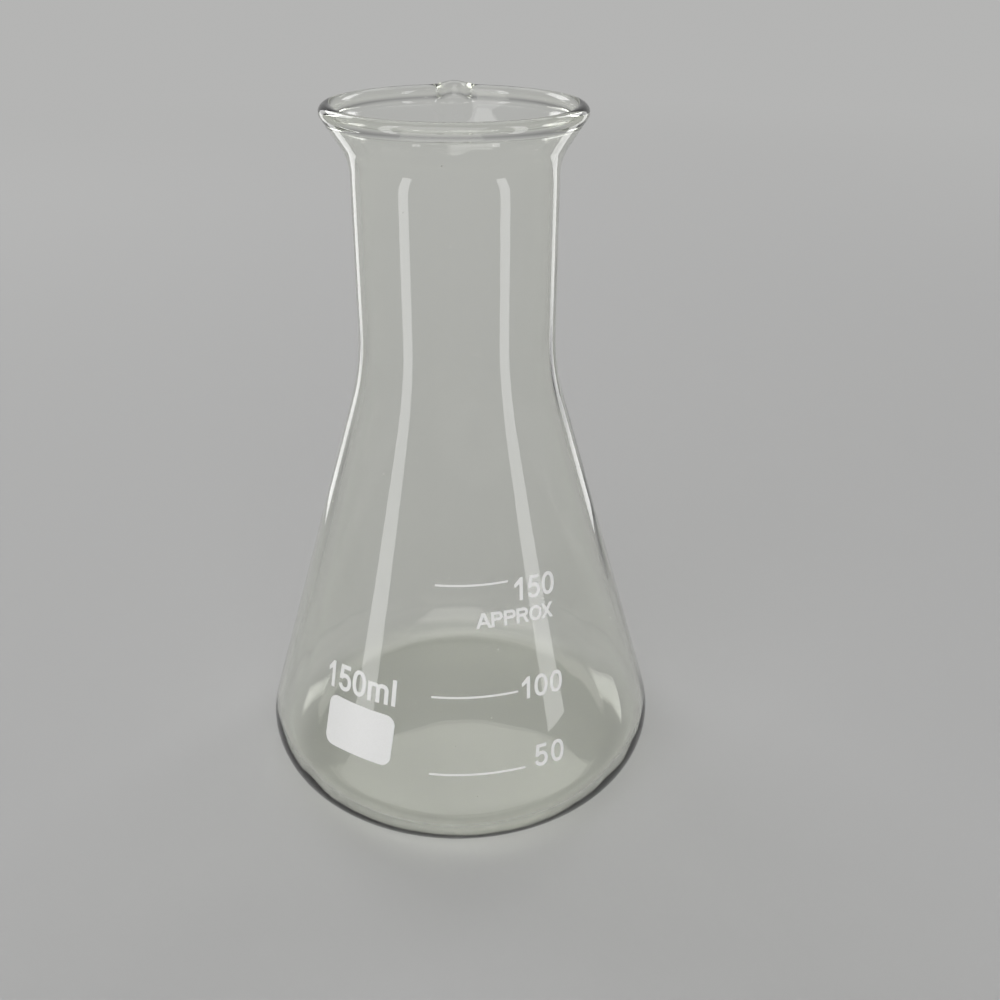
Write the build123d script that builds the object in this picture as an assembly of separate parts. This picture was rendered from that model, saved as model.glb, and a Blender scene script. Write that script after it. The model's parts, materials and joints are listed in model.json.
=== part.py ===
"""Conical laboratory flask of 150 ml: one blown glass vessel with white fired enamel marks on its cone.

Millimetres and degrees. The origin is the centre of the foot, +Z runs up the flask's axis,
the enamel marks face -Y and the pouring spout points to +Y.
"""
import math
import os

from build123d import *

# Outline of the glass
BODY_DIAMETER = 74.0
# Up to the rim, away from the spout
HEIGHT = 122.2
HEEL_RADIUS = 8.5
SHOULDER_RADIUS = 44.0
NECK_DIAMETER = 33.5
# From the rim down to the corner that neck and cone would make without the shoulder's rounding
NECK_LENGTH = 43.0
# How far the rim stands out past the neck
MOUTH_FLARE = 4.35
FUNNEL_HALF_ANGLE = 32.6
FUNNEL_RADIUS = 8.6

# Glass thickness, inside rounding and the hollow under the foot
WALL = 1.4
FLOOR_THICKNESS = 2.0
INNER_HEEL_RADIUS = 7.0
FOOT_RING_WIDTH = 3.0
PUNT_RISE = 1.0

# Fire-polished lip
LIP_BEAD_DIAMETER = 2.5
BEAD_BLEND_RADIUS = 1.2

# Pouring spout pulled out and slightly up from the lip, with its direction counted from the front
SPOUT_DIRECTION = 180.0
SPOUT_REACH = 2.8
SPOUT_RISE = 0.3
SPOUT_HALF_ANGLE = 15.0
SPOUT_STEP_ANGLE = 1.5

# Largest mismatch at which the seam between body and mouth still closes
SEAM_TOLERANCE = 0.0001

# White enamel on the outside of the cone, with angles counted from the front, positive to +X
ENAMEL_THICKNESS = 0.06
LINE_WIDTH = 0.35
LINE_START_ANGLE = -9.6
LINE_END_ANGLE = 18.2
LINE_50_HEIGHT = 17.4
LINE_100_HEIGHT = 30.8
LINE_150_HEIGHT = 49.6
SPOT_CENTRE_ANGLE = -33.0
SPOT_CENTRE_HEIGHT = 22.0
SPOT_WIDTH = 14.0
SPOT_HEIGHT = 9.3
SPOT_CORNER_RADIUS = 1.8

# Worked out from the sizes above
BODY_RADIUS = BODY_DIAMETER / 2
NECK_RADIUS = NECK_DIAMETER / 2
BORE_RADIUS = NECK_RADIUS - WALL
BEAD_RADIUS = LIP_BEAD_DIAMETER / 2
# Middle of the bead, away from the spout
BEAD_CENTRE_RADIUS = NECK_RADIUS + MOUTH_FLARE - BEAD_RADIUS
BEAD_CENTRE_HEIGHT = HEIGHT - BEAD_RADIUS
# The cone's outside runs from the shoulder's corner to where it touches the heel's arc
SHOULDER_CORNER_HEIGHT = HEIGHT - NECK_LENGTH
HEEL_ARC_RUN = BODY_RADIUS - HEEL_RADIUS - NECK_RADIUS
HEEL_ARC_DROP = SHOULDER_CORNER_HEIGHT - HEEL_RADIUS
CONE_ANGLE = (math.atan2(HEEL_ARC_RUN, HEEL_ARC_DROP)
              + math.asin(HEEL_RADIUS / math.hypot(HEEL_ARC_RUN, HEEL_ARC_DROP)))
CONE_SIN = math.sin(CONE_ANGLE)
CONE_COS = math.cos(CONE_ANGLE)
CONE_TAN = math.tan(CONE_ANGLE)
# Radius at which the cone's straight outside would meet the ground
CONE_FOOT_RADIUS = NECK_RADIUS + SHOULDER_CORNER_HEIGHT * CONE_TAN
# Neck meets funnel where the funnel's slope, laid against the lip's bead, reaches the neck's radius
FUNNEL_ANGLE = math.radians(FUNNEL_HALF_ANGLE)
FUNNEL_TOUCH_RADIUS = BEAD_CENTRE_RADIUS + BEAD_RADIUS * math.cos(FUNNEL_ANGLE)
FUNNEL_TOUCH_HEIGHT = BEAD_CENTRE_HEIGHT - BEAD_RADIUS * math.sin(FUNNEL_ANGLE)
FUNNEL_CORNER_HEIGHT = FUNNEL_TOUCH_HEIGHT - (FUNNEL_TOUCH_RADIUS - NECK_RADIUS) / math.tan(FUNNEL_ANGLE)
# The mouth is modelled apart from the body down to here, where the neck is still straight
MOUTH_BASE_HEIGHT = FUNNEL_CORNER_HEIGHT - FUNNEL_RADIUS
# Sections on each side of the spout's middle, the outermost one past its edge
SPOUT_STEPS = math.ceil(SPOUT_HALF_ANGLE / SPOUT_STEP_ANGLE) + 1


def cone_point(height, depth=0.0):
    """Point of the cone's outside at a height, or of a parallel line that lies deeper in the glass."""
    radius = CONE_FOOT_RADIUS - height * CONE_TAN
    return (radius - depth * CONE_COS, height - depth * CONE_SIN)


def cone_height(radius, depth):
    """Height at which a line parallel to the cone's outside, at a depth in the glass, has a radius."""
    return (CONE_FOOT_RADIUS - depth / CONE_COS - radius) / CONE_TAN


def body_face():
    """Half section of the body, from the foot to the straight part of the neck."""
    ring_outside = BODY_RADIUS - HEEL_RADIUS
    ring_inside = ring_outside - FOOT_RING_WIDTH
    floor_corner_radius = CONE_FOOT_RADIUS - WALL / CONE_COS - FLOOR_THICKNESS * CONE_TAN
    outside = FilletPolyline(
        (ring_inside, 0),
        (CONE_FOOT_RADIUS, 0),
        (NECK_RADIUS, SHOULDER_CORNER_HEIGHT),
        (NECK_RADIUS, MOUTH_BASE_HEIGHT),
        radius=[HEEL_RADIUS, SHOULDER_RADIUS],
    )
    rim = Line((NECK_RADIUS, MOUTH_BASE_HEIGHT), (BORE_RADIUS, MOUTH_BASE_HEIGHT))
    inside = FilletPolyline(
        (BORE_RADIUS, MOUTH_BASE_HEIGHT),
        (BORE_RADIUS, cone_height(BORE_RADIUS, WALL)),
        (floor_corner_radius, FLOOR_THICKNESS),
        (ring_inside, FLOOR_THICKNESS),
        radius=[SHOULDER_RADIUS + WALL, INNER_HEEL_RADIUS],
    )
    floor_top = Spline(
        (ring_inside, FLOOR_THICKNESS),
        (0, FLOOR_THICKNESS + PUNT_RISE),
        tangents=[(-1, 0), (-1, 0)],
    )
    axis_line = Line((0, FLOOR_THICKNESS + PUNT_RISE), (0, PUNT_RISE))
    punt = Spline((0, PUNT_RISE), (ring_inside, 0), tangents=[(1, 0), (1, 0)])
    return make_face([outside, rim, inside, floor_top, axis_line, punt])


def bend(start, corner, end, radius):
    """Round bend that joins the line from start to corner with the line from corner to end."""
    along = (corner - start).normalized()
    away = (end - corner).normalized()
    reach = radius * math.tan(math.radians(along.get_angle(away)) / 2)
    return TangentArc(corner - along * reach, corner + away * reach, tangent=along)


def mouth_face(push=0.0, lift=0.0, stretch=1.0):
    """Half section of the mouth in a plane through the axis: neck, funnel and rounded lip.

    Push moves the lip outward and lift moves it up, as at the spout. Stretch widens the lip in that plane,
    so that the glass stays as thick as elsewhere where the spout's side runs slantwise through the plane.
    """
    base_outside = Vector(NECK_RADIUS, MOUTH_BASE_HEIGHT)
    base_inside = Vector(BORE_RADIUS, MOUTH_BASE_HEIGHT)
    corner = Vector(NECK_RADIUS, FUNNEL_CORNER_HEIGHT)
    inner_corner = Vector(BORE_RADIUS, FUNNEL_CORNER_HEIGHT + WALL * math.tan(FUNNEL_ANGLE / 2))
    centre = Vector(BEAD_CENTRE_RADIUS + push, BEAD_CENTRE_HEIGHT + lift)

    # The bead's outer tangent and inner blend are found where the bead is a circle, without the stretch
    to_corner = Vector((corner.X - centre.X) / stretch, corner.Y - centre.Y)
    touch_angle = math.atan2(to_corner.Y, to_corner.X) + math.acos(BEAD_RADIUS / to_corner.length)
    outward = Vector(math.cos(touch_angle), math.sin(touch_angle))
    upward = Vector(-outward.Y, outward.X)
    blend_depth = WALL - BEAD_RADIUS + BEAD_BLEND_RADIUS
    blend_drop = math.sqrt((BEAD_RADIUS + BEAD_BLEND_RADIUS) ** 2 - blend_depth ** 2)
    blend_centre = outward * -blend_depth - upward * blend_drop
    blend_end = blend_centre + outward * BEAD_BLEND_RADIUS
    bead_turn = math.pi + math.atan2(blend_drop, blend_depth)

    bead = EllipticalCenterArc(
        centre,
        BEAD_RADIUS * stretch,
        BEAD_RADIUS,
        start_angle=math.degrees(touch_angle),
        arc_size=math.degrees(bead_turn),
    )
    line_end = centre + Vector(blend_end.X * stretch, blend_end.Y)
    outer_bend = bend(base_outside, corner, bead @ 0, FUNNEL_RADIUS)
    inner_bend = bend(line_end, inner_corner, base_inside, FUNNEL_RADIUS + WALL)
    return make_face([
        Line(base_outside, outer_bend @ 0),
        outer_bend,
        Line(outer_bend @ 1, bead @ 0),
        bead,
        Spline(bead @ 1, line_end, tangents=[bead % 1, inner_bend % 0]),
        Line(line_end, inner_bend @ 0),
        inner_bend,
        Line(inner_bend @ 1, base_inside),
        Line(base_inside, base_outside),
    ])


def radial_plane(angle):
    """Plane through the axis that holds a half section, at an angle counted from the front."""
    direction = Vector(math.sin(math.radians(angle)), -math.cos(math.radians(angle)), 0)
    return Plane(origin=(0, 0, 0), x_dir=direction, z_dir=direction.cross(Vector(0, 0, 1)))


def spout_section(angle):
    """Section of the mouth at an angle from the middle of the spout, which swells up bell-shaped."""
    phase = math.pi / 2 * max(-1.0, min(1.0, angle / SPOUT_HALF_ANGLE))
    share = math.cos(phase) ** 4
    push = SPOUT_REACH * share
    share_slope = 4 * math.cos(phase) ** 3 * math.sin(phase) * math.pi / 2 / math.radians(SPOUT_HALF_ANGLE)
    stretch = math.hypot(1, SPOUT_REACH * share_slope / (BEAD_CENTRE_RADIUS + push))
    return radial_plane(SPOUT_DIRECTION + angle) * mouth_face(push, SPOUT_RISE * share, stretch)


def spout():
    """Stretch of the mouth that is pulled out into the spout, lofted round the axis."""
    return loft([spout_section(step * SPOUT_STEP_ANGLE) for step in range(-SPOUT_STEPS, SPOUT_STEPS + 1)])


def flask():
    """The whole glass as one solid: body, round mouth and spout."""
    spout_edge = SPOUT_STEPS * SPOUT_STEP_ANGLE
    body = revolve(radial_plane(0) * body_face(), axis=Axis.Z)
    round_face = radial_plane(SPOUT_DIRECTION + spout_edge) * mouth_face()
    round_mouth = revolve(round_face, axis=Axis.Z, revolution_arc=360 - 2 * spout_edge)
    mouth = round_mouth + spout()
    return body.fuse(mouth, tol=SEAM_TOLERANCE)


def enamel_band(low, high, start_angle, end_angle):
    """Coat of enamel on the cone between two heights and two angles from the front."""
    section = make_face(Polyline(
        cone_point(low),
        cone_point(high),
        cone_point(high, -ENAMEL_THICKNESS),
        cone_point(low, -ENAMEL_THICKNESS),
        close=True,
    ))
    return revolve(radial_plane(start_angle) * section, axis=Axis.Z, revolution_arc=end_angle - start_angle)


def graduation(height):
    """Volume line at a height of the cone."""
    half_rise = LINE_WIDTH / 2 * CONE_COS
    return enamel_band(height - half_rise, height + half_rise, LINE_START_ANGLE, LINE_END_ANGLE)


def marking_spot():
    """Rounded patch to write on, cut from a coat of enamel by a straight cutter that faces the cone."""
    radius, height = cone_point(SPOT_CENTRE_HEIGHT)
    direction = radial_plane(SPOT_CENTRE_ANGLE).x_dir
    upright = Vector(0, 0, 1)
    face = Plane(
        origin=direction * radius + upright * height,
        x_dir=upright.cross(direction),
        z_dir=direction * CONE_COS + upright * CONE_SIN,
    )
    outline = face * RectangleRounded(SPOT_WIDTH, SPOT_HEIGHT, SPOT_CORNER_RADIUS)
    cutter = extrude(outline, SPOT_WIDTH, both=True)
    reach_angle = math.degrees(SPOT_WIDTH / radius)
    coat = enamel_band(
        height - SPOT_HEIGHT,
        height + SPOT_HEIGHT,
        SPOT_CENTRE_ANGLE - reach_angle,
        SPOT_CENTRE_ANGLE + reach_angle,
    )
    return coat & cutter


def write(node, shape):
    """Writes one named piece as a STEP file."""
    shape.label = node
    export_step(shape, f"parts/{node}.step")


def main():
    os.makedirs("parts", exist_ok=True)
    write("flask", flask())
    write("marking_spot", marking_spot())
    write("graduation_50", graduation(LINE_50_HEIGHT))
    write("graduation_100", graduation(LINE_100_HEIGHT))
    write("graduation_150", graduation(LINE_150_HEIGHT))


main()
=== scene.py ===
"""Looks of a conical laboratory flask of 150 ml: clear blown glass with white fired enamel marks.

Sizes are in millimetres unless a name says metres, and MM turns them into Blender's metres.
Angles on the flask are in degrees, counted from the front, which faces -Y, and positive to +X.
"""
import json
import math
import random

import bmesh
import bpy
import numpy as np
from mathutils import Matrix, Vector, noise
from mathutils.geometry import delaunay_2d_cdt


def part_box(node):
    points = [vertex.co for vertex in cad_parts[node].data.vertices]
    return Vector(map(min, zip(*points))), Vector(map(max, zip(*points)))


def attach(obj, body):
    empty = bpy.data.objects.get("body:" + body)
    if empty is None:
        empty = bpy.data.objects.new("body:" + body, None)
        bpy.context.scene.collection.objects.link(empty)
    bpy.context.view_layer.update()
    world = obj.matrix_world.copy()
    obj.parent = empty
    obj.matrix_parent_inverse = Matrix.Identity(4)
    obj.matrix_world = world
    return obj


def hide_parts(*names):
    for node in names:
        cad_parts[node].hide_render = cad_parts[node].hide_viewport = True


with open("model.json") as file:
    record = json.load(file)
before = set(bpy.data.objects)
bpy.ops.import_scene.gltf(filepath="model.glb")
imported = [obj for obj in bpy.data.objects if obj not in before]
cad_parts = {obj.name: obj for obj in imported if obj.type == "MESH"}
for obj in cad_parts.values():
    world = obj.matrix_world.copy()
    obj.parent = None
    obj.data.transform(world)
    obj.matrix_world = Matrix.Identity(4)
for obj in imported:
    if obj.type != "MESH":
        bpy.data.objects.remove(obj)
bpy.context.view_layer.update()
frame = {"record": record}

MM = 0.001
BODY = "root"

# Sizes that the frame gives
glass_low, glass_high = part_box("flask")
NECK_BORE = next(mount for mount in frame["record"]["mounts"] if mount["name"] == "neck_bore")
BODY_RADIUS = (glass_high.x - glass_low.x) / 2 / MM
BORE_RADIUS = NECK_BORE["dims"]["r_mm"]

# Outline of the glass
HEIGHT = 122.2
HEEL_RADIUS = 8.5
SHOULDER_RADIUS = 44.0
NECK_LENGTH = 43.0
MOUTH_FLARE = 4.35
FUNNEL_HALF_ANGLE = 32.6
FUNNEL_RADIUS = 8.6
WALL = 1.4
FLOOR_THICKNESS = 2.0
INNER_HEEL_RADIUS = 7.0
FOOT_RING_WIDTH = 3.0
PUNT_RISE = 1.0
LIP_BEAD_DIAMETER = 2.5
BEAD_BLEND_RADIUS = 1.2
SPOUT_DIRECTION = 180.0
SPOUT_REACH = 2.8
SPOUT_RISE = glass_high.z / MM - HEIGHT
SPOUT_HALF_ANGLE = 15.0

# Print on the cone: heights are up the axis, and places along the slope are measured from the ground
LINE_WIDTH = 0.35
LINE_END_ROUNDING = LINE_WIDTH * 0.3
LINE_END_STEPS = 3
LINE_START_ANGLE = -9.6
LINE_END_ANGLE = 18.2
LINE_HEIGHTS = {"graduation_50": 17.4, "graduation_100": 30.8, "graduation_150": 49.6}
SPOT_CENTRE_ANGLE = -33.0
SPOT_CENTRE_HEIGHT = 22.0
SPOT_WIDTH = 14.0
SPOT_HEIGHT = 9.3
SPOT_CORNER_RADIUS = 1.8
ENAMEL_PROUD = 0.06
ENAMEL_SUNK = 0.02

# Worked out from the sizes above
NECK_RADIUS = BORE_RADIUS + WALL
BEAD_RADIUS = LIP_BEAD_DIAMETER / 2
BEAD_CENTRE_RADIUS = NECK_RADIUS + MOUTH_FLARE - BEAD_RADIUS
BEAD_CENTRE_HEIGHT = HEIGHT - BEAD_RADIUS
SHOULDER_CORNER_HEIGHT = HEIGHT - NECK_LENGTH
HEEL_ARC_RUN = BODY_RADIUS - HEEL_RADIUS - NECK_RADIUS
HEEL_ARC_DROP = SHOULDER_CORNER_HEIGHT - HEEL_RADIUS
CONE_ANGLE = (math.atan2(HEEL_ARC_RUN, HEEL_ARC_DROP)
              + math.asin(HEEL_RADIUS / math.hypot(HEEL_ARC_RUN, HEEL_ARC_DROP)))
CONE_SIN = math.sin(CONE_ANGLE)
CONE_COS = math.cos(CONE_ANGLE)
CONE_TAN = math.tan(CONE_ANGLE)
CONE_FOOT_RADIUS = NECK_RADIUS + SHOULDER_CORNER_HEIGHT * CONE_TAN
CONE_FOOT_TO_APEX = CONE_FOOT_RADIUS / CONE_SIN
FUNNEL_ANGLE = math.radians(FUNNEL_HALF_ANGLE)
FUNNEL_TOUCH_RADIUS = BEAD_CENTRE_RADIUS + BEAD_RADIUS * math.cos(FUNNEL_ANGLE)
FUNNEL_TOUCH_HEIGHT = BEAD_CENTRE_HEIGHT - BEAD_RADIUS * math.sin(FUNNEL_ANGLE)
FUNNEL_CORNER_HEIGHT = FUNNEL_TOUCH_HEIGHT - (FUNNEL_TOUCH_RADIUS - NECK_RADIUS) / math.tan(FUNNEL_ANGLE)
MOUTH_BASE_HEIGHT = FUNNEL_CORNER_HEIGHT - FUNNEL_RADIUS
RING_OUTSIDE = BODY_RADIUS - HEEL_RADIUS
RING_INSIDE = RING_OUTSIDE - FOOT_RING_WIDTH

# Fineness of the meshes: steps of columns and arcs in degrees, the others in millimetres
COLUMN_STEP = 1.2
SPOUT_COLUMN_STEP = 0.5
ARC_STEP = 3.0
BEAD_STEP = 8.0
BEAD_SWEEP = 240.0
BLEND_SWEEP = 80.0
STRAIGHT_STEP = 3.0
COAT_SLICE = 0.6
WORD_SLICE = 0.5

# Unevenness of the glass's inside, which fades in from the base of the mouth and out at the axis
LONG_RIPPLE = 0.10
SHORT_RIPPLE = 0.035
RIPPLE_FADE_POINTS = 8
RIPPLE_FADE_RADIUS = 10.0


# Places on the flask

def direction(angle):
    """Level direction away from the axis at an angle from the front, in degrees."""
    return Vector((math.sin(math.radians(angle)), -math.cos(math.radians(angle)), 0))


def on_cone(angle, slope, proud=0.0):
    """Point in metres at a place along the cone's slope, standing proud of the glass by so much."""
    radius = (CONE_FOOT_TO_APEX - slope) * CONE_SIN + proud * CONE_COS
    height = slope * CONE_COS + proud * CONE_SIN
    return (direction(angle) * radius + Vector((0, 0, height))) * MM


def unrolled(angle, slope):
    """Place on the cone, rolled out flat about its apex."""
    turn = math.radians(angle) * CONE_SIN
    return Vector((math.sin(turn), -math.cos(turn))) * (CONE_FOOT_TO_APEX - slope)


def rolled_up(point):
    """Angle and slope of a point of the rolled-out cone."""
    return math.degrees(math.atan2(point.x, -point.y) / CONE_SIN), CONE_FOOT_TO_APEX - point.length


# Half section of the glass, as lists of points

def straight(start, end):
    """Points along a line, without its ends."""
    count = int((end - start).length // STRAIGHT_STEP)
    return [start.lerp(end, step / (count + 1)) for step in range(1, count + 1)]


def rounded(start, corner, end, radius, steps=None):
    """Points of the arc that rounds a corner between two lines, its ends included."""
    along = (corner - start).normalized()
    away = (end - corner).normalized()
    turn = along.angle(away)
    inward = (away - along * along.dot(away)).normalized()
    centre = corner - along * radius * math.tan(turn / 2) + inward * radius
    steps = steps or math.ceil(math.degrees(turn) / ARC_STEP)
    angles = [turn * step / steps for step in range(steps + 1)]
    return [centre + (along * math.sin(a) - inward * math.cos(a)) * radius for a in angles]


def swell(start, end):
    """Points of a curve that leaves and arrives level, without its first end."""
    count = math.ceil(abs(end.x - start.x) / STRAIGHT_STEP) * 2
    shares = [step / count for step in range(1, count + 1)]
    return [Vector((start.x + (end.x - start.x) * share,
                    start.y + (end.y - start.y) * share * share * (3 - 2 * share)))
            for share in shares]


def joined(*runs):
    """One list of points from arcs and single points, with the lines between them divided."""
    points = []
    for run in runs:
        if points:
            points += straight(points[-1], run[0])
        points += run
    return points


def outside_profile():
    """From the middle of the foot up to the base of the mouth."""
    neck = Vector((NECK_RADIUS, MOUTH_BASE_HEIGHT))
    shoulder = Vector((NECK_RADIUS, SHOULDER_CORNER_HEIGHT))
    foot = Vector((CONE_FOOT_RADIUS, 0))
    ring = Vector((RING_INSIDE, 0))
    middle = Vector((0, PUNT_RISE))
    return joined(
        [middle] + swell(middle, ring),
        rounded(ring, foot, shoulder, HEEL_RADIUS),
        rounded(foot, shoulder, neck, SHOULDER_RADIUS),
        [neck],
    )


def inside_profile():
    """From the base of the mouth down to the middle of the floor."""
    neck = Vector((BORE_RADIUS, MOUTH_BASE_HEIGHT))
    wall_foot_radius = CONE_FOOT_RADIUS - WALL / CONE_COS
    shoulder = Vector((BORE_RADIUS, (wall_foot_radius - BORE_RADIUS) / CONE_TAN))
    corner = Vector((wall_foot_radius - FLOOR_THICKNESS * CONE_TAN, FLOOR_THICKNESS))
    ring = Vector((RING_INSIDE, FLOOR_THICKNESS))
    middle = Vector((0, FLOOR_THICKNESS + PUNT_RISE))
    return joined(
        [neck],
        rounded(neck, shoulder, corner, SHOULDER_RADIUS + WALL),
        rounded(shoulder, corner, ring, INNER_HEEL_RADIUS),
        [ring] + swell(ring, middle),
    )


def mouth_profile(push, lift, stretch):
    """From the base of the mouth up the outside, round the bead and down the inside to the base."""
    base_outside = Vector((NECK_RADIUS, MOUTH_BASE_HEIGHT))
    base_inside = Vector((BORE_RADIUS, MOUTH_BASE_HEIGHT))
    corner = Vector((NECK_RADIUS, FUNNEL_CORNER_HEIGHT))
    inner_corner = Vector((BORE_RADIUS, FUNNEL_CORNER_HEIGHT + WALL * math.tan(FUNNEL_ANGLE / 2)))
    centre = Vector((BEAD_CENTRE_RADIUS + push, BEAD_CENTRE_HEIGHT + lift))

    def on_lip(point):
        return centre + Vector((point.x * stretch, point.y))

    to_corner = Vector(((corner.x - centre.x) / stretch, corner.y - centre.y))
    touch_angle = math.atan2(to_corner.y, to_corner.x) + math.acos(BEAD_RADIUS / to_corner.length)
    outward = Vector((math.cos(touch_angle), math.sin(touch_angle)))
    upward = Vector((-outward.y, outward.x))
    blend_depth = WALL - BEAD_RADIUS + BEAD_BLEND_RADIUS
    blend_drop = math.sqrt((BEAD_RADIUS + BEAD_BLEND_RADIUS) ** 2 - blend_depth ** 2)
    blend_centre = outward * -blend_depth - upward * blend_drop
    end_angle = touch_angle + math.pi + math.atan2(blend_drop, blend_depth)

    bead_steps = math.ceil(BEAD_SWEEP / BEAD_STEP)
    bead_angles = np.linspace(touch_angle, end_angle, bead_steps + 1)
    bead = [on_lip(Vector((math.cos(a), math.sin(a))) * BEAD_RADIUS) for a in bead_angles]
    blend_steps = math.ceil(BLEND_SWEEP / BEAD_STEP)
    blend_angles = np.linspace(end_angle - math.pi, touch_angle, blend_steps + 1)
    blend = [on_lip(blend_centre + Vector((math.cos(a), math.sin(a))) * BEAD_BLEND_RADIUS)
             for a in blend_angles]
    bend_steps = math.ceil(FUNNEL_HALF_ANGLE / ARC_STEP)
    outer_bend = rounded(base_outside, corner, bead[0], FUNNEL_RADIUS, bend_steps)
    inner_bend = rounded(blend[-1], inner_corner, base_inside, FUNNEL_RADIUS + WALL, bend_steps)
    between = [outer_bend[-1].lerp(bead[0], share) for share in (0.33, 0.67)]
    below = [blend[-1].lerp(inner_bend[0], share) for share in (0.33, 0.67)]
    return outer_bend + between + bead + blend[1:] + below + inner_bend


def spout_shape(angle):
    """How far the lip is pulled out and up at an angle from the spout's middle, and its stretch."""
    phase = math.pi / 2 * max(-1.0, min(1.0, angle / SPOUT_HALF_ANGLE))
    share = math.cos(phase) ** 4
    push = SPOUT_REACH * share
    phase_slope = math.pi / 2 / math.radians(SPOUT_HALF_ANGLE)
    share_slope = 4 * math.cos(phase) ** 3 * math.sin(phase) * phase_slope
    stretch = math.hypot(1, SPOUT_REACH * share_slope / (BEAD_CENTRE_RADIUS + push))
    return push, SPOUT_RISE * share, stretch


# Meshes

def new_object(name, mesh, material):
    """Object of the flask with one material, riding on the flask."""
    piece = bpy.data.objects.new(name, mesh)
    bpy.context.scene.collection.objects.link(piece)
    mesh.materials.append(material)
    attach(piece, BODY)
    return piece


def wall_ripple(angle, height):
    """Unevenness of the blown glass: long soft ripples up the wall and faint rings round it."""
    level = direction(angle)
    long_ripple = noise.noise(Vector((level.x * 2.4, level.y * 2.4, height * 0.022)))
    short_ripple = noise.noise(Vector((level.x * 7.0, level.y * 7.0, height * 0.06 + 9.0)))
    return LONG_RIPPLE * long_ripple + SHORT_RIPPLE * short_ripple


def column_angles():
    """Angles from the spout's middle at which the glass has its columns, closer at the spout."""
    edge = SPOUT_HALF_ANGLE + SPOUT_COLUMN_STEP
    inside_count = round(2 * edge / SPOUT_COLUMN_STEP)
    outside_count = round((360 - 2 * edge) / COLUMN_STEP)
    angles = list(np.linspace(-edge, edge, inside_count, endpoint=False))
    return angles + list(np.linspace(edge, 360 - edge, outside_count, endpoint=False))


def glass_mesh():
    """The whole flask as one closed mesh round the axis, with the spout pulled out of the lip."""
    lower = outside_profile()
    upper = inside_profile()
    points = []
    angles = column_angles()
    for from_spout in angles:
        angle = SPOUT_DIRECTION + from_spout
        mouth = mouth_profile(*spout_shape((from_spout + 180) % 360 - 180))
        profile = lower[1:] + mouth + upper[1:-1]
        inside_start = len(profile) - len(upper) + 2
        level = direction(angle)
        for index, point in enumerate(profile):
            radius = point.x
            if index > inside_start:
                below = (index - inside_start) / RIPPLE_FADE_POINTS
                fade = min(1.0, radius / RIPPLE_FADE_RADIUS, below)
                radius += wall_ripple(angle, point.y) * fade
            points.append((level * radius + Vector((0, 0, point.y))) * MM)
    rings = len(points) // len(angles)
    bottom = len(points)
    top = bottom + 1
    points += [Vector((0, 0, lower[0].y)) * MM, Vector((0, 0, upper[-1].y)) * MM]
    faces = []
    for column in range(len(angles)):
        here = column * rings
        following = (column + 1) % len(angles) * rings
        faces.append((bottom, following, here))
        faces.append((top, here + rings - 1, following + rings - 1))
        for step in range(rings - 1):
            faces.append((here + step, following + step, following + step + 1, here + step + 1))
    mesh = bpy.data.meshes.new("flask_glass")
    mesh.from_pydata(points, [], faces)
    mesh.validate()
    mesh.shade_smooth()
    return mesh


def coat_mesh(name, outline, place):
    """Thin closed coat on the cone. Place gives the angle and slope of a point of the flat bmesh."""
    count = len(outline.verts)
    outline.verts.index_update()
    spots = [place(v.co.x, v.co.y) for v in outline.verts]
    points = [on_cone(a, s, ENAMEL_PROUD) for a, s in spots]
    points += [on_cone(a, s, -ENAMEL_SUNK) for a, s in spots]
    faces = []
    for face in outline.faces:
        corners = [v.index for v in face.verts]
        faces.append(corners)
        faces.append([c + count for c in reversed(corners)])
    for edge in outline.edges:
        if edge.is_boundary:
            loop = edge.link_loops[0]
            first = loop.vert.index
            second = loop.link_loop_next.vert.index
            faces.append((first, first + count, second + count, second))
    outline.free()
    mesh = bpy.data.meshes.new(name)
    mesh.from_pydata(points, [], faces)
    mesh.validate()
    return mesh


def sliced(flat, step):
    """Cuts a flat bmesh into upright slices, so that it can follow the cone."""
    left = min(v.co.x for v in flat.verts)
    right = max(v.co.x for v in flat.verts)
    for index in range(1, math.ceil((right - left) / step)):
        bmesh.ops.bisect_plane(
            flat,
            geom=flat.verts[:] + flat.edges[:] + flat.faces[:],
            plane_co=(left + index * step, 0, 0),
            plane_no=(1, 0, 0),
        )
    return flat


def counterclockwise(outline):
    """The outline's points, turned round where they run clockwise."""
    following = list(outline[1:]) + list(outline[:1])
    area = sum(a[0] * b[1] - b[0] * a[1] for a, b in zip(outline, following))
    return list(outline) if area > 0 else list(outline)[::-1]


ALL_TRIANGLES = 0
WELD_DISTANCE = 1e-6


def filled(outlines):
    """Flat bmesh, facing +Z, of all that lies in one or more closed outlines."""
    outlines = [counterclockwise(outline) for outline in outlines]
    corners = [Vector(point) for outline in outlines for point in outline]
    loops = []
    for outline in outlines:
        first = sum(len(loop) for loop in loops)
        loops.append(list(range(first, first + len(outline))))
    points, _, faces, _, _, origins = delaunay_2d_cdt(
        corners, [], loops, ALL_TRIANGLES, WELD_DISTANCE)
    flat = bmesh.new()
    spots = [flat.verts.new((*point, 0)) for point in points]
    for face, origin in zip(faces, origins):
        if origin:
            flat.faces.new([spots[corner] for corner in face])
    for spot in [v for v in flat.verts if not v.link_faces]:
        flat.verts.remove(spot)
    for face in flat.faces:
        face.normal_update()
        if face.normal.z < 0:
            face.normal_flip()
    return flat


OVAL_POWER = 0.88


def oval(x, y, reach_x, reach_y, start, end, steps=20):
    """Points of a slightly squared oval's arc between two angles, its ends included."""
    points = []
    for step in range(steps + 1):
        a = math.radians(start + (end - start) * step / steps)
        points.append((x + reach_x * math.copysign(abs(math.cos(a)) ** OVAL_POWER, math.cos(a)),
                       y + reach_y * math.copysign(abs(math.sin(a)) ** OVAL_POWER, math.sin(a))))
    return points


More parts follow.
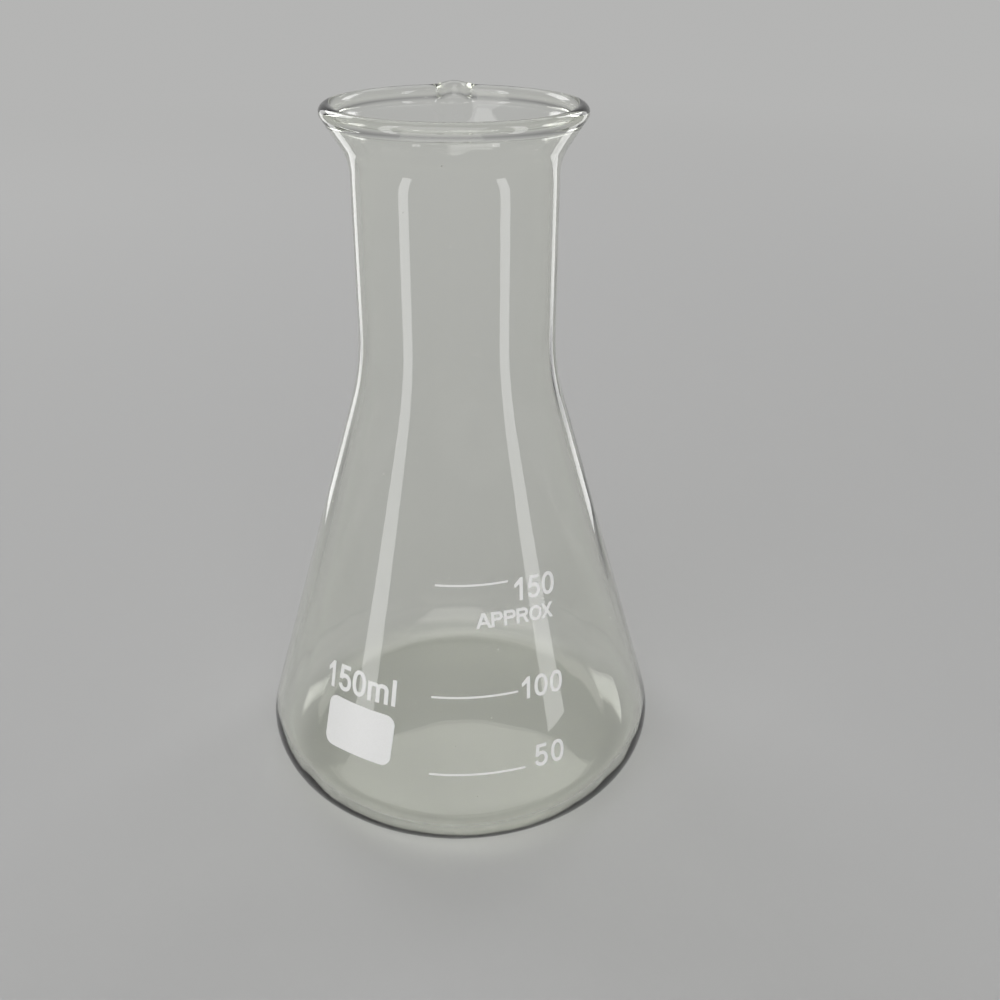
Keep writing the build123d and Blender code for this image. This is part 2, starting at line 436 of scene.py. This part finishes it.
def rounded_rectangle(width, height, radius, steps=10):
    """Corner points of a rectangle with round corners, about the origin."""
    points = []
    for quarter, (side_x, side_y) in enumerate(((1, 1), (-1, 1), (-1, -1), (1, -1))):
        for step in range(steps + 1):
            a = math.pi / 2 * (quarter + step / steps)
            points.append((side_x * (width / 2 - radius) + radius * math.cos(a),
                           side_y * (height / 2 - radius) + radius * math.sin(a)))
    return points


# Characters of the print, as closed outlines in a box from the origin to a width and a height

def ribbon(points, width):
    """Outline of a stroke of even width along points, with mitred corners."""
    points = [Vector(point) for point in points]
    steps = [(after - before).normalized() for before, after in zip(points, points[1:])]
    left = []
    right = []
    for index, point in enumerate(points):
        before = steps[max(index - 1, 0)]
        after = steps[min(index, len(steps) - 1)]
        middle = (before + after).normalized()
        side = Vector((-middle.y, middle.x)) * width / 2 / middle.dot(before)
        left.append(point + side)
        right.append(point - side)
    return left + right[::-1]


def bar(left, bottom, right, top):
    """Outline of an upright rectangle."""
    return [(left, bottom), (right, bottom), (right, top), (left, top)]


def slant(bottom_left, top_left, width, height):
    """Outline of a slanting bar with level ends."""
    return [(bottom_left, 0), (bottom_left + width, 0), (top_left + width, height), (top_left, height)]


def round_letter(width, height, stroke):
    """Figure 0 or capital O."""
    across = (width - stroke) / 2
    up = (height - stroke) / 2
    return [ribbon(oval(width / 2, height / 2, across, up, start, start + 180), stroke)
            for start in (0, 180)]


def figure_one(width, height, stroke):
    """Figure 1 with a slanting flag and no foot."""
    stem = width - stroke
    return [[(stem, 0), (width, 0), (width, height), (width - 0.78 * stroke, height),
             (0, 0.72 * height), (0.05 * width, 0.58 * height), (stem, 0.715 * height)]]


def figure_five(width, height, stroke):
    """Figure 5."""
    top = height - stroke / 2
    waist = 0.335 * height
    stem = ribbon([(0.9 * width, top), (0.13 * width + stroke / 2, top),
                   (0.05 * width + stroke / 2, 0.45 * height)], stroke)
    belly = oval(width / 2, waist, (width - stroke) / 2, waist - stroke / 2, 152, -166, 30)
    return [stem, ribbon(belly, stroke)]


def small_m(width, height, stroke):
    """Small m, in a box as high as a small l."""
    x_height = 0.735 * height
    feet = [stroke / 2, width / 2, width - stroke / 2]
    outlines = [bar(0, 0, stroke, x_height)]
    for left, right in zip(feet, feet[1:]):
        reach = (right - left) / 2
        shoulder = x_height - stroke / 2 - reach
        arch = oval(left + reach, shoulder, reach, reach, 180, 0) + [(right, 0)]
        outlines.append(ribbon(arch, stroke))
    return outlines


def small_l(width, height, stroke):
    """Small l, which is as wide as its box whatever the stroke."""
    return [bar(0, 0, width, height)]


def capital_a(width, height, stroke):
    """Capital A."""
    foot = 1.08 * stroke
    apex = (width - foot) / 2
    crossbar = 0.24 * height
    return [slant(0, apex, foot, height), slant(width - foot, apex, foot, height),
            bar(0.22 * width, crossbar, 0.78 * width, crossbar + 0.85 * stroke)]


def bowl(width, height, stroke):
    """Upper loop of a capital P or R."""
    top = height - stroke / 2
    bottom = 0.42 * height + stroke / 2
    reach = (top - bottom) / 2
    arc = oval(width - stroke / 2 - reach, (top + bottom) / 2, reach, reach, 90, -90)
    return ribbon([(stroke / 2, top)] + arc + [(stroke / 2, bottom)], stroke)


def capital_p(width, height, stroke):
    """Capital P."""
    return [bar(0, 0, stroke, height), bowl(width, height, stroke)]


def capital_r(width, height, stroke):
    """Capital R with a straight leg."""
    leg = 1.12 * stroke
    hip = 0.45 * width
    return [bar(0, 0, stroke, height), bowl(0.93 * width, height, stroke),
            [(width - leg, 0), (width, 0), (hip + leg, 0.5 * height), (hip, 0.5 * height)]]


def capital_x(width, height, stroke):
    """Capital X."""
    foot = 1.2 * stroke
    return [slant(0, width - foot, foot, height), slant(width - foot, 0, foot, height)]


CHARACTERS = {"0": round_letter, "1": figure_one, "5": figure_five, "m": small_m, "l": small_l,
              "A": capital_a, "P": capital_p, "R": capital_r, "O": round_letter, "X": capital_x}


# Materials

def new_material(name):
    """Node material with its Principled shader."""
    material = bpy.data.materials.new(name)
    material.use_nodes = True
    return material, material.node_tree, material.node_tree.nodes["Principled BSDF"]


def glass_material():
    """Clear borosilicate glass with a faint yellow-green tint in its depth."""
    material, tree, shader = new_material("clear_glass")
    shader.inputs["Base Color"].default_value = (1, 1, 1, 1)
    shader.inputs["Roughness"].default_value = 0.0
    shader.inputs["IOR"].default_value = 1.474
    shader.inputs["Transmission Weight"].default_value = 1.0
    absorption = tree.nodes.new("ShaderNodeVolumeAbsorption")
    absorption.inputs["Color"].default_value = (0.70, 0.80, 0.34, 1)
    absorption.inputs["Density"].default_value = 36.0
    tree.links.new(absorption.outputs["Volume"], tree.nodes["Material Output"].inputs["Volume"])
    return material


def enamel_material():
    """White fired enamel, slightly matt, with a fine grain."""
    material, tree, shader = new_material("white_enamel")
    shader.inputs["Roughness"].default_value = 0.42
    place = tree.nodes.new("ShaderNodeTexCoord")
    grain = tree.nodes.new("ShaderNodeTexNoise")
    grain.inputs["Scale"].default_value = 5200.0
    grain.inputs["Detail"].default_value = 3.0
    tone = tree.nodes.new("ShaderNodeValToRGB")
    tone.color_ramp.elements[0].position = 0.25
    tone.color_ramp.elements[0].color = (0.88, 0.88, 0.86, 1)
    tone.color_ramp.elements[1].position = 0.65
    tone.color_ramp.elements[1].color = (0.93, 0.93, 0.92, 1)
    tree.links.new(place.outputs["Object"], grain.inputs["Vector"])
    tree.links.new(grain.outputs["Fac"], tone.inputs["Fac"])
    tree.links.new(tone.outputs["Color"], shader.inputs["Base Color"])
    bump = tree.nodes.new("ShaderNodeBump")
    bump.inputs["Strength"].default_value = 0.15
    bump.inputs["Distance"].default_value = 0.01 * MM
    tree.links.new(grain.outputs["Fac"], bump.inputs["Height"])
    tree.links.new(bump.outputs["Normal"], shader.inputs["Normal"])
    return material


def dust_material():
    """Pale dry dust, a little uneven in tone."""
    material, tree, shader = new_material("dust")
    shader.inputs["Roughness"].default_value = 0.9
    place = tree.nodes.new("ShaderNodeTexCoord")
    mottle = tree.nodes.new("ShaderNodeTexNoise")
    mottle.inputs["Scale"].default_value = 2500.0
    tone = tree.nodes.new("ShaderNodeValToRGB")
    tone.color_ramp.elements[0].color = (0.72, 0.71, 0.68, 1)
    tone.color_ramp.elements[1].color = (0.92, 0.91, 0.89, 1)
    tree.links.new(place.outputs["Object"], mottle.inputs["Vector"])
    tree.links.new(mottle.outputs["Fac"], tone.inputs["Fac"])
    tree.links.new(tone.outputs["Color"], shader.inputs["Base Color"])
    return material


# The flask

GLASS = glass_material()
ENAMEL = enamel_material()
flask = new_object("flask_glass", glass_mesh(), GLASS)
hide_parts("flask")


def add_graduation(node, height):
    """Volume line: a narrow band at one height."""
    slope = height / CONE_COS
    width = math.radians(LINE_END_ANGLE - LINE_START_ANGLE) * (CONE_FOOT_TO_APEX - slope) * CONE_SIN
    outline = rounded_rectangle(width, LINE_WIDTH, LINE_END_ROUNDING, LINE_END_STEPS)
    strip = sliced(filled([outline]), COAT_SLICE)
    middle = (LINE_START_ANGLE + LINE_END_ANGLE) / 2
    degrees_per_mm = (LINE_END_ANGLE - LINE_START_ANGLE) / width
    mesh = coat_mesh(node, strip, lambda x, y: (middle + x * degrees_per_mm, slope + y))
    piece = new_object(node + "_enamel", mesh, ENAMEL)
    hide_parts(node)


for node, height in LINE_HEIGHTS.items():
    add_graduation(node, height)

spot_middle = unrolled(SPOT_CENTRE_ANGLE, SPOT_CENTRE_HEIGHT / CONE_COS)
spot_up = -spot_middle.normalized()
spot_across = Vector((spot_up.y, -spot_up.x))
spot_outline = rounded_rectangle(SPOT_WIDTH, SPOT_HEIGHT, SPOT_CORNER_RADIUS)
spot_flat = sliced(filled([spot_outline]), COAT_SLICE)
spot_mesh = coat_mesh("marking_spot", spot_flat,
                      lambda x, y: rolled_up(spot_middle + spot_across * x + spot_up * y))
spot = new_object("marking_spot_enamel", spot_mesh, ENAMEL)
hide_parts("marking_spot")

# Words: height, stroke and lean of the characters, two places of the baseline as x, angle and slope,
# and each character with its left edge and its width
WORDS = {
    "figure_50": (4.0, 0.60, 0.05, ((1.01, 22.73, 17.57), (4.37, 28.22, 17.36)),
                  (("5", 0.0, 2.5), ("0", 3.22, 2.55))),
    "figure_100": (3.9, 0.60, 0.05, ((1.24, 21.37, 30.39), (6.59, 31.10, 29.97)),
                   (("1", 0.0, 1.53), ("0", 2.39, 2.55), ("0", 5.45, 2.5))),
    "figure_150": (3.95, 0.62, 0.05, ((1.30, 22.74, 47.92), (6.51, 33.97, 47.52)),
                   (("1", 0.0, 1.60), ("5", 2.45, 2.45), ("0", 5.28, 2.55))),
    "word_approx": (2.66, 0.52, 0.0, ((0.35, 5.99, 44.10), (14.03, 34.41, 43.42)),
                    (("A", 0.0, 2.70), ("P", 2.66, 2.0), ("P", 4.85, 2.1), ("R", 7.08, 2.3),
                     ("O", 9.45, 2.4), ("X", 11.75, 2.4))),
    "figure_volume": (4.75, 0.74, 0.0, ((1.34, -45.22, 28.56), (14.33, -21.78, 29.30)),
                      (("1", 0.0, 1.65), ("5", 2.72, 2.87), ("0", 5.94, 2.87), ("m", 9.25, 4.05),
                       ("l", 13.96, 0.74))),
}


def add_word(name, height, stroke, lean, baseline, characters):
    """Word laid on the cone along a straight baseline of the rolled-out cone."""
    (first_x, *first_place), (_, *second_place) = baseline
    first = unrolled(*first_place)
    along = (unrolled(*second_place) - first).normalized()
    upward = Vector((-along.y, along.x))
    outlines = []
    for character, left, width in characters:
        for outline in CHARACTERS[character](width, height, stroke):
            outlines.append([(left + x + y * lean, y) for x, y in outline])

    def place(x, y):
        return rolled_up(first + along * (x - first_x) + upward * y)

    flat = sliced(filled(outlines), WORD_SLICE)
    new_object(name, coat_mesh(name, flat, place), ENAMEL)


for name, word in WORDS.items():
    add_word(name, *word)


# Dust on the outside of the glass

def outside_radius(height):
    """Radius of the straight outside of cone or neck at a height."""
    return max(NECK_RADIUS, CONE_FOOT_RADIUS - height * CONE_TAN)


def add_fleck(points, faces, angle, height, size, chance):
    """Flat eight-sided crumb that lies on the glass."""
    level = direction(angle)
    aside = direction(angle + 90)
    upright = Vector((0, 0, 1))
    centre = level * (outside_radius(height) + size * 0.1) + upright * height
    turn = chance.uniform(0, math.pi)
    first = len(points)
    for step in range(4):
        a = turn + step * math.pi / 2
        reach = size * chance.uniform(0.35, 0.75)
        points.append((centre + (aside * math.cos(a) + upright * math.sin(a)) * reach) * MM)
    points.append((centre + level * size * 0.25) * MM)
    points.append((centre - level * size * 0.25) * MM)
    for step in range(4):
        here = first + step
        following = first + (step + 1) % 4
        faces.append((here, following, first + 4))
        faces.append((following, here, first + 5))


# Angle and height of the flecks that stand out, and the field in which the fine ones are strewn
BIG_FLECKS = ((-6.5, 116.0), (-22.0, 113.5), (-28.0, 108.5), (-37.0, 66.0), (-27.0, 67.5),
              (-49.0, 16.0), (-46.0, 12.5), (66.0, 34.0), (9.0, 27.0), (-2.0, 22.5), (12.5, 38.5),
              (4.0, 13.5))
BIG_FLECK_SIZES = (0.20, 0.32)
FINE_FLECK_SIZES = (0.08, 0.17)
FINE_FLECK_COUNT = 70
FRONT_FIELD_MIDDLE = 5
FRONT_FIELD_SPREAD = 22
FRONT_FIELD_HEIGHTS = (12, 75)
WHOLE_FIELD_HEIGHTS = (12, 108)
chance = random.Random(7)
fleck_points = []
fleck_faces = []
for angle, height in BIG_FLECKS:
    add_fleck(fleck_points, fleck_faces, angle, height, chance.uniform(*BIG_FLECK_SIZES), chance)
for _ in range(FINE_FLECK_COUNT):
    angle = chance.gauss(FRONT_FIELD_MIDDLE, FRONT_FIELD_SPREAD)
    height = chance.uniform(*FRONT_FIELD_HEIGHTS)
    add_fleck(fleck_points, fleck_faces, angle, height, chance.uniform(*FINE_FLECK_SIZES), chance)
for _ in range(FINE_FLECK_COUNT):
    angle = chance.uniform(-180, 180)
    height = chance.uniform(*WHOLE_FIELD_HEIGHTS)
    add_fleck(fleck_points, fleck_faces, angle, height, chance.uniform(*FINE_FLECK_SIZES), chance)
fleck_mesh = bpy.data.meshes.new("dust_specks")
fleck_mesh.from_pydata(fleck_points, [], fleck_faces)
new_object("dust_specks", fleck_mesh, dust_material())

# Floor: its half width, height and glow are in metres

BACKDROP_TONE = (0.46, 0.46, 0.455, 1)
FLOOR_HALF = 6.0
FLOOR_HEIGHT = -0.05 * MM
FLOOR_GLOW_START = 0.3
FLOOR_GLOW_END = 0.9
floor_mesh = bpy.data.meshes.new("floor")
floor_mesh.from_pydata(
    [(-FLOOR_HALF, -FLOOR_HALF, FLOOR_HEIGHT), (FLOOR_HALF, -FLOOR_HALF, FLOOR_HEIGHT),
     (FLOOR_HALF, FLOOR_HALF, FLOOR_HEIGHT), (-FLOOR_HALF, FLOOR_HALF, FLOOR_HEIGHT)],
    [], [(0, 1, 2, 3)])
floor = bpy.data.objects.new("floor", floor_mesh)
bpy.context.scene.collection.objects.link(floor)


def floor_material():
    """Plain pale matt floor, which far from the flask keeps its tone where the lamps don't reach."""
    material, tree, shader = new_material("pale_floor")
    shader.inputs["Base Color"].default_value = BACKDROP_TONE
    shader.inputs["Roughness"].default_value = 1.0
    shader.inputs["Specular IOR Level"].default_value = 0.0
    glow = tree.nodes.new("ShaderNodeEmission")
    glow.inputs["Color"].default_value = BACKDROP_TONE
    place = tree.nodes.new("ShaderNodeTexCoord")
    distance = tree.nodes.new("ShaderNodeVectorMath")
    distance.operation = "LENGTH"
    share = tree.nodes.new("ShaderNodeMapRange")
    share.interpolation_type = "SMOOTHSTEP"
    share.inputs["From Min"].default_value = FLOOR_GLOW_START
    share.inputs["From Max"].default_value = FLOOR_GLOW_END
    blend = tree.nodes.new("ShaderNodeMixShader")
    tree.links.new(place.outputs["Object"], distance.inputs[0])
    tree.links.new(distance.outputs["Value"], share.inputs["Value"])
    tree.links.new(share.outputs["Result"], blend.inputs["Fac"])
    tree.links.new(shader.outputs["BSDF"], blend.inputs[1])
    tree.links.new(glow.outputs["Emission"], blend.inputs[2])
    tree.links.new(blend.outputs["Shader"], tree.nodes["Material Output"].inputs["Surface"])
    material.cycles.emission_sampling = "NONE"
    return material


floor_mesh.materials.append(floor_material())

# Studio: the world is as pale as the floor at the horizon, and dimmer above

WORLD_UPPER_TONE = (0.24, 0.24, 0.245, 1)
HORIZON_TOP = 0.06
UPPER_BOTTOM = 0.40
world = bpy.data.worlds.new("studio")
bpy.context.scene.world = world
world.use_nodes = True
world_tree = world.node_tree
background = world_tree.nodes["Background"]
sky_place = world_tree.nodes.new("ShaderNodeTexCoord")
sky_split = world_tree.nodes.new("ShaderNodeSeparateXYZ")
sky_ramp = world_tree.nodes.new("ShaderNodeValToRGB")
sky_ramp.color_ramp.elements[0].position = HORIZON_TOP
sky_ramp.color_ramp.elements[0].color = BACKDROP_TONE
sky_ramp.color_ramp.elements[1].position = UPPER_BOTTOM
sky_ramp.color_ramp.elements[1].color = WORLD_UPPER_TONE
rays = world_tree.nodes.new("ShaderNodeLightPath")
seen = world_tree.nodes.new("ShaderNodeMix")
seen.data_type = "RGBA"
seen.inputs["B"].default_value = BACKDROP_TONE
world_tree.links.new(sky_place.outputs["Generated"], sky_split.inputs["Vector"])
world_tree.links.new(sky_split.outputs["Z"], sky_ramp.inputs["Fac"])
world_tree.links.new(rays.outputs["Is Camera Ray"], seen.inputs["Factor"])
world_tree.links.new(sky_ramp.outputs["Color"], seen.inputs["A"])
world_tree.links.new(seen.outputs["Result"], background.inputs["Color"])


LAMP_AIM = Vector((0, 0, 0.06))


def softbox(name, angle, elevation, distance, width, height, radiance, shape="RECTANGLE"):
    """Area lamp that faces the flask from an angle and an elevation, sized in metres."""
    level = direction(angle)
    lift = math.radians(elevation)
    light = bpy.data.lights.new(name, "AREA")
    light.shape = shape
    light.size = width
    light.size_y = height
    area = width * height * (math.pi / 4 if shape == "ELLIPSE" else 1)
    light.energy = radiance * math.pi * area
    lamp = bpy.data.objects.new(name, light)
    away = level * math.cos(lift) + Vector((0, 0, math.sin(lift)))
    lamp.location = LAMP_AIM + away * distance
    lamp.rotation_mode = "QUATERNION"
    lamp.rotation_quaternion = away.to_track_quat("Z", "Y")
    lamp.visible_camera = False
    bpy.context.scene.collection.objects.link(lamp)
    return lamp


softbox("overhead", 180, 64, 1.2, 1.4, 1.15, 1.15, "ELLIPSE")
softbox("front", -14, 35, 1.5, 2.0, 1.4, 1.6)
softbox("window_left", -140, 31, 1.1, 0.55, 0.45, 3.4)
softbox("window_right", 137, 30, 1.1, 0.32, 0.45, 3.4)


STRIP_DISTANCE = 0.15
STRIP_WIDTH = 0.03
STRIP_HEIGHT = 0.25


def reflected_strip(name, angle, radiance):
    """Upright lamp beside the flask that shows in reflections alone."""
    lamp = softbox(name, angle, 0, STRIP_DISTANCE, STRIP_WIDTH, STRIP_HEIGHT, radiance)
    lamp.location.z = STRIP_HEIGHT / 2
    lamp.visible_diffuse = False
    lamp.visible_transmission = False


reflected_strip("strip_left", -55, 4)
reflected_strip("strip_right", 52, 4)
reflected_strip("strip_back_right", 135, 1.5)
reflected_strip("strip_back_left", -140, 1.5)

# Camera

CAMERA_PLACE = Vector((0, -182.374, 147.829)) * MM
CAMERA_RIGHT = Vector((0.99926, -0.03789, 0.00612))
CAMERA_UP = Vector((0.01216, 0.46378, 0.88587))
CAMERA_BACK = CAMERA_RIGHT.cross(CAMERA_UP)
CAMERA_LENS = 40.212
SENSOR_WIDTH = 36.0

camera = bpy.data.objects.new("camera", bpy.data.cameras.new("camera"))
bpy.context.scene.collection.objects.link(camera)
camera.data.sensor_width = SENSOR_WIDTH
camera.data.lens = CAMERA_LENS
camera.data.clip_start = 0.01
turn = Matrix((CAMERA_RIGHT, CAMERA_UP, CAMERA_BACK)).transposed()
camera.matrix_world = Matrix.Translation(CAMERA_PLACE) @ turn.to_4x4()
bpy.context.scene.camera = camera

bpy.context.scene.view_settings.view_transform = "Standard"
# Light that has passed through the glass stays as sharp as it is
bpy.context.scene.cycles.blur_glossy = 0.0
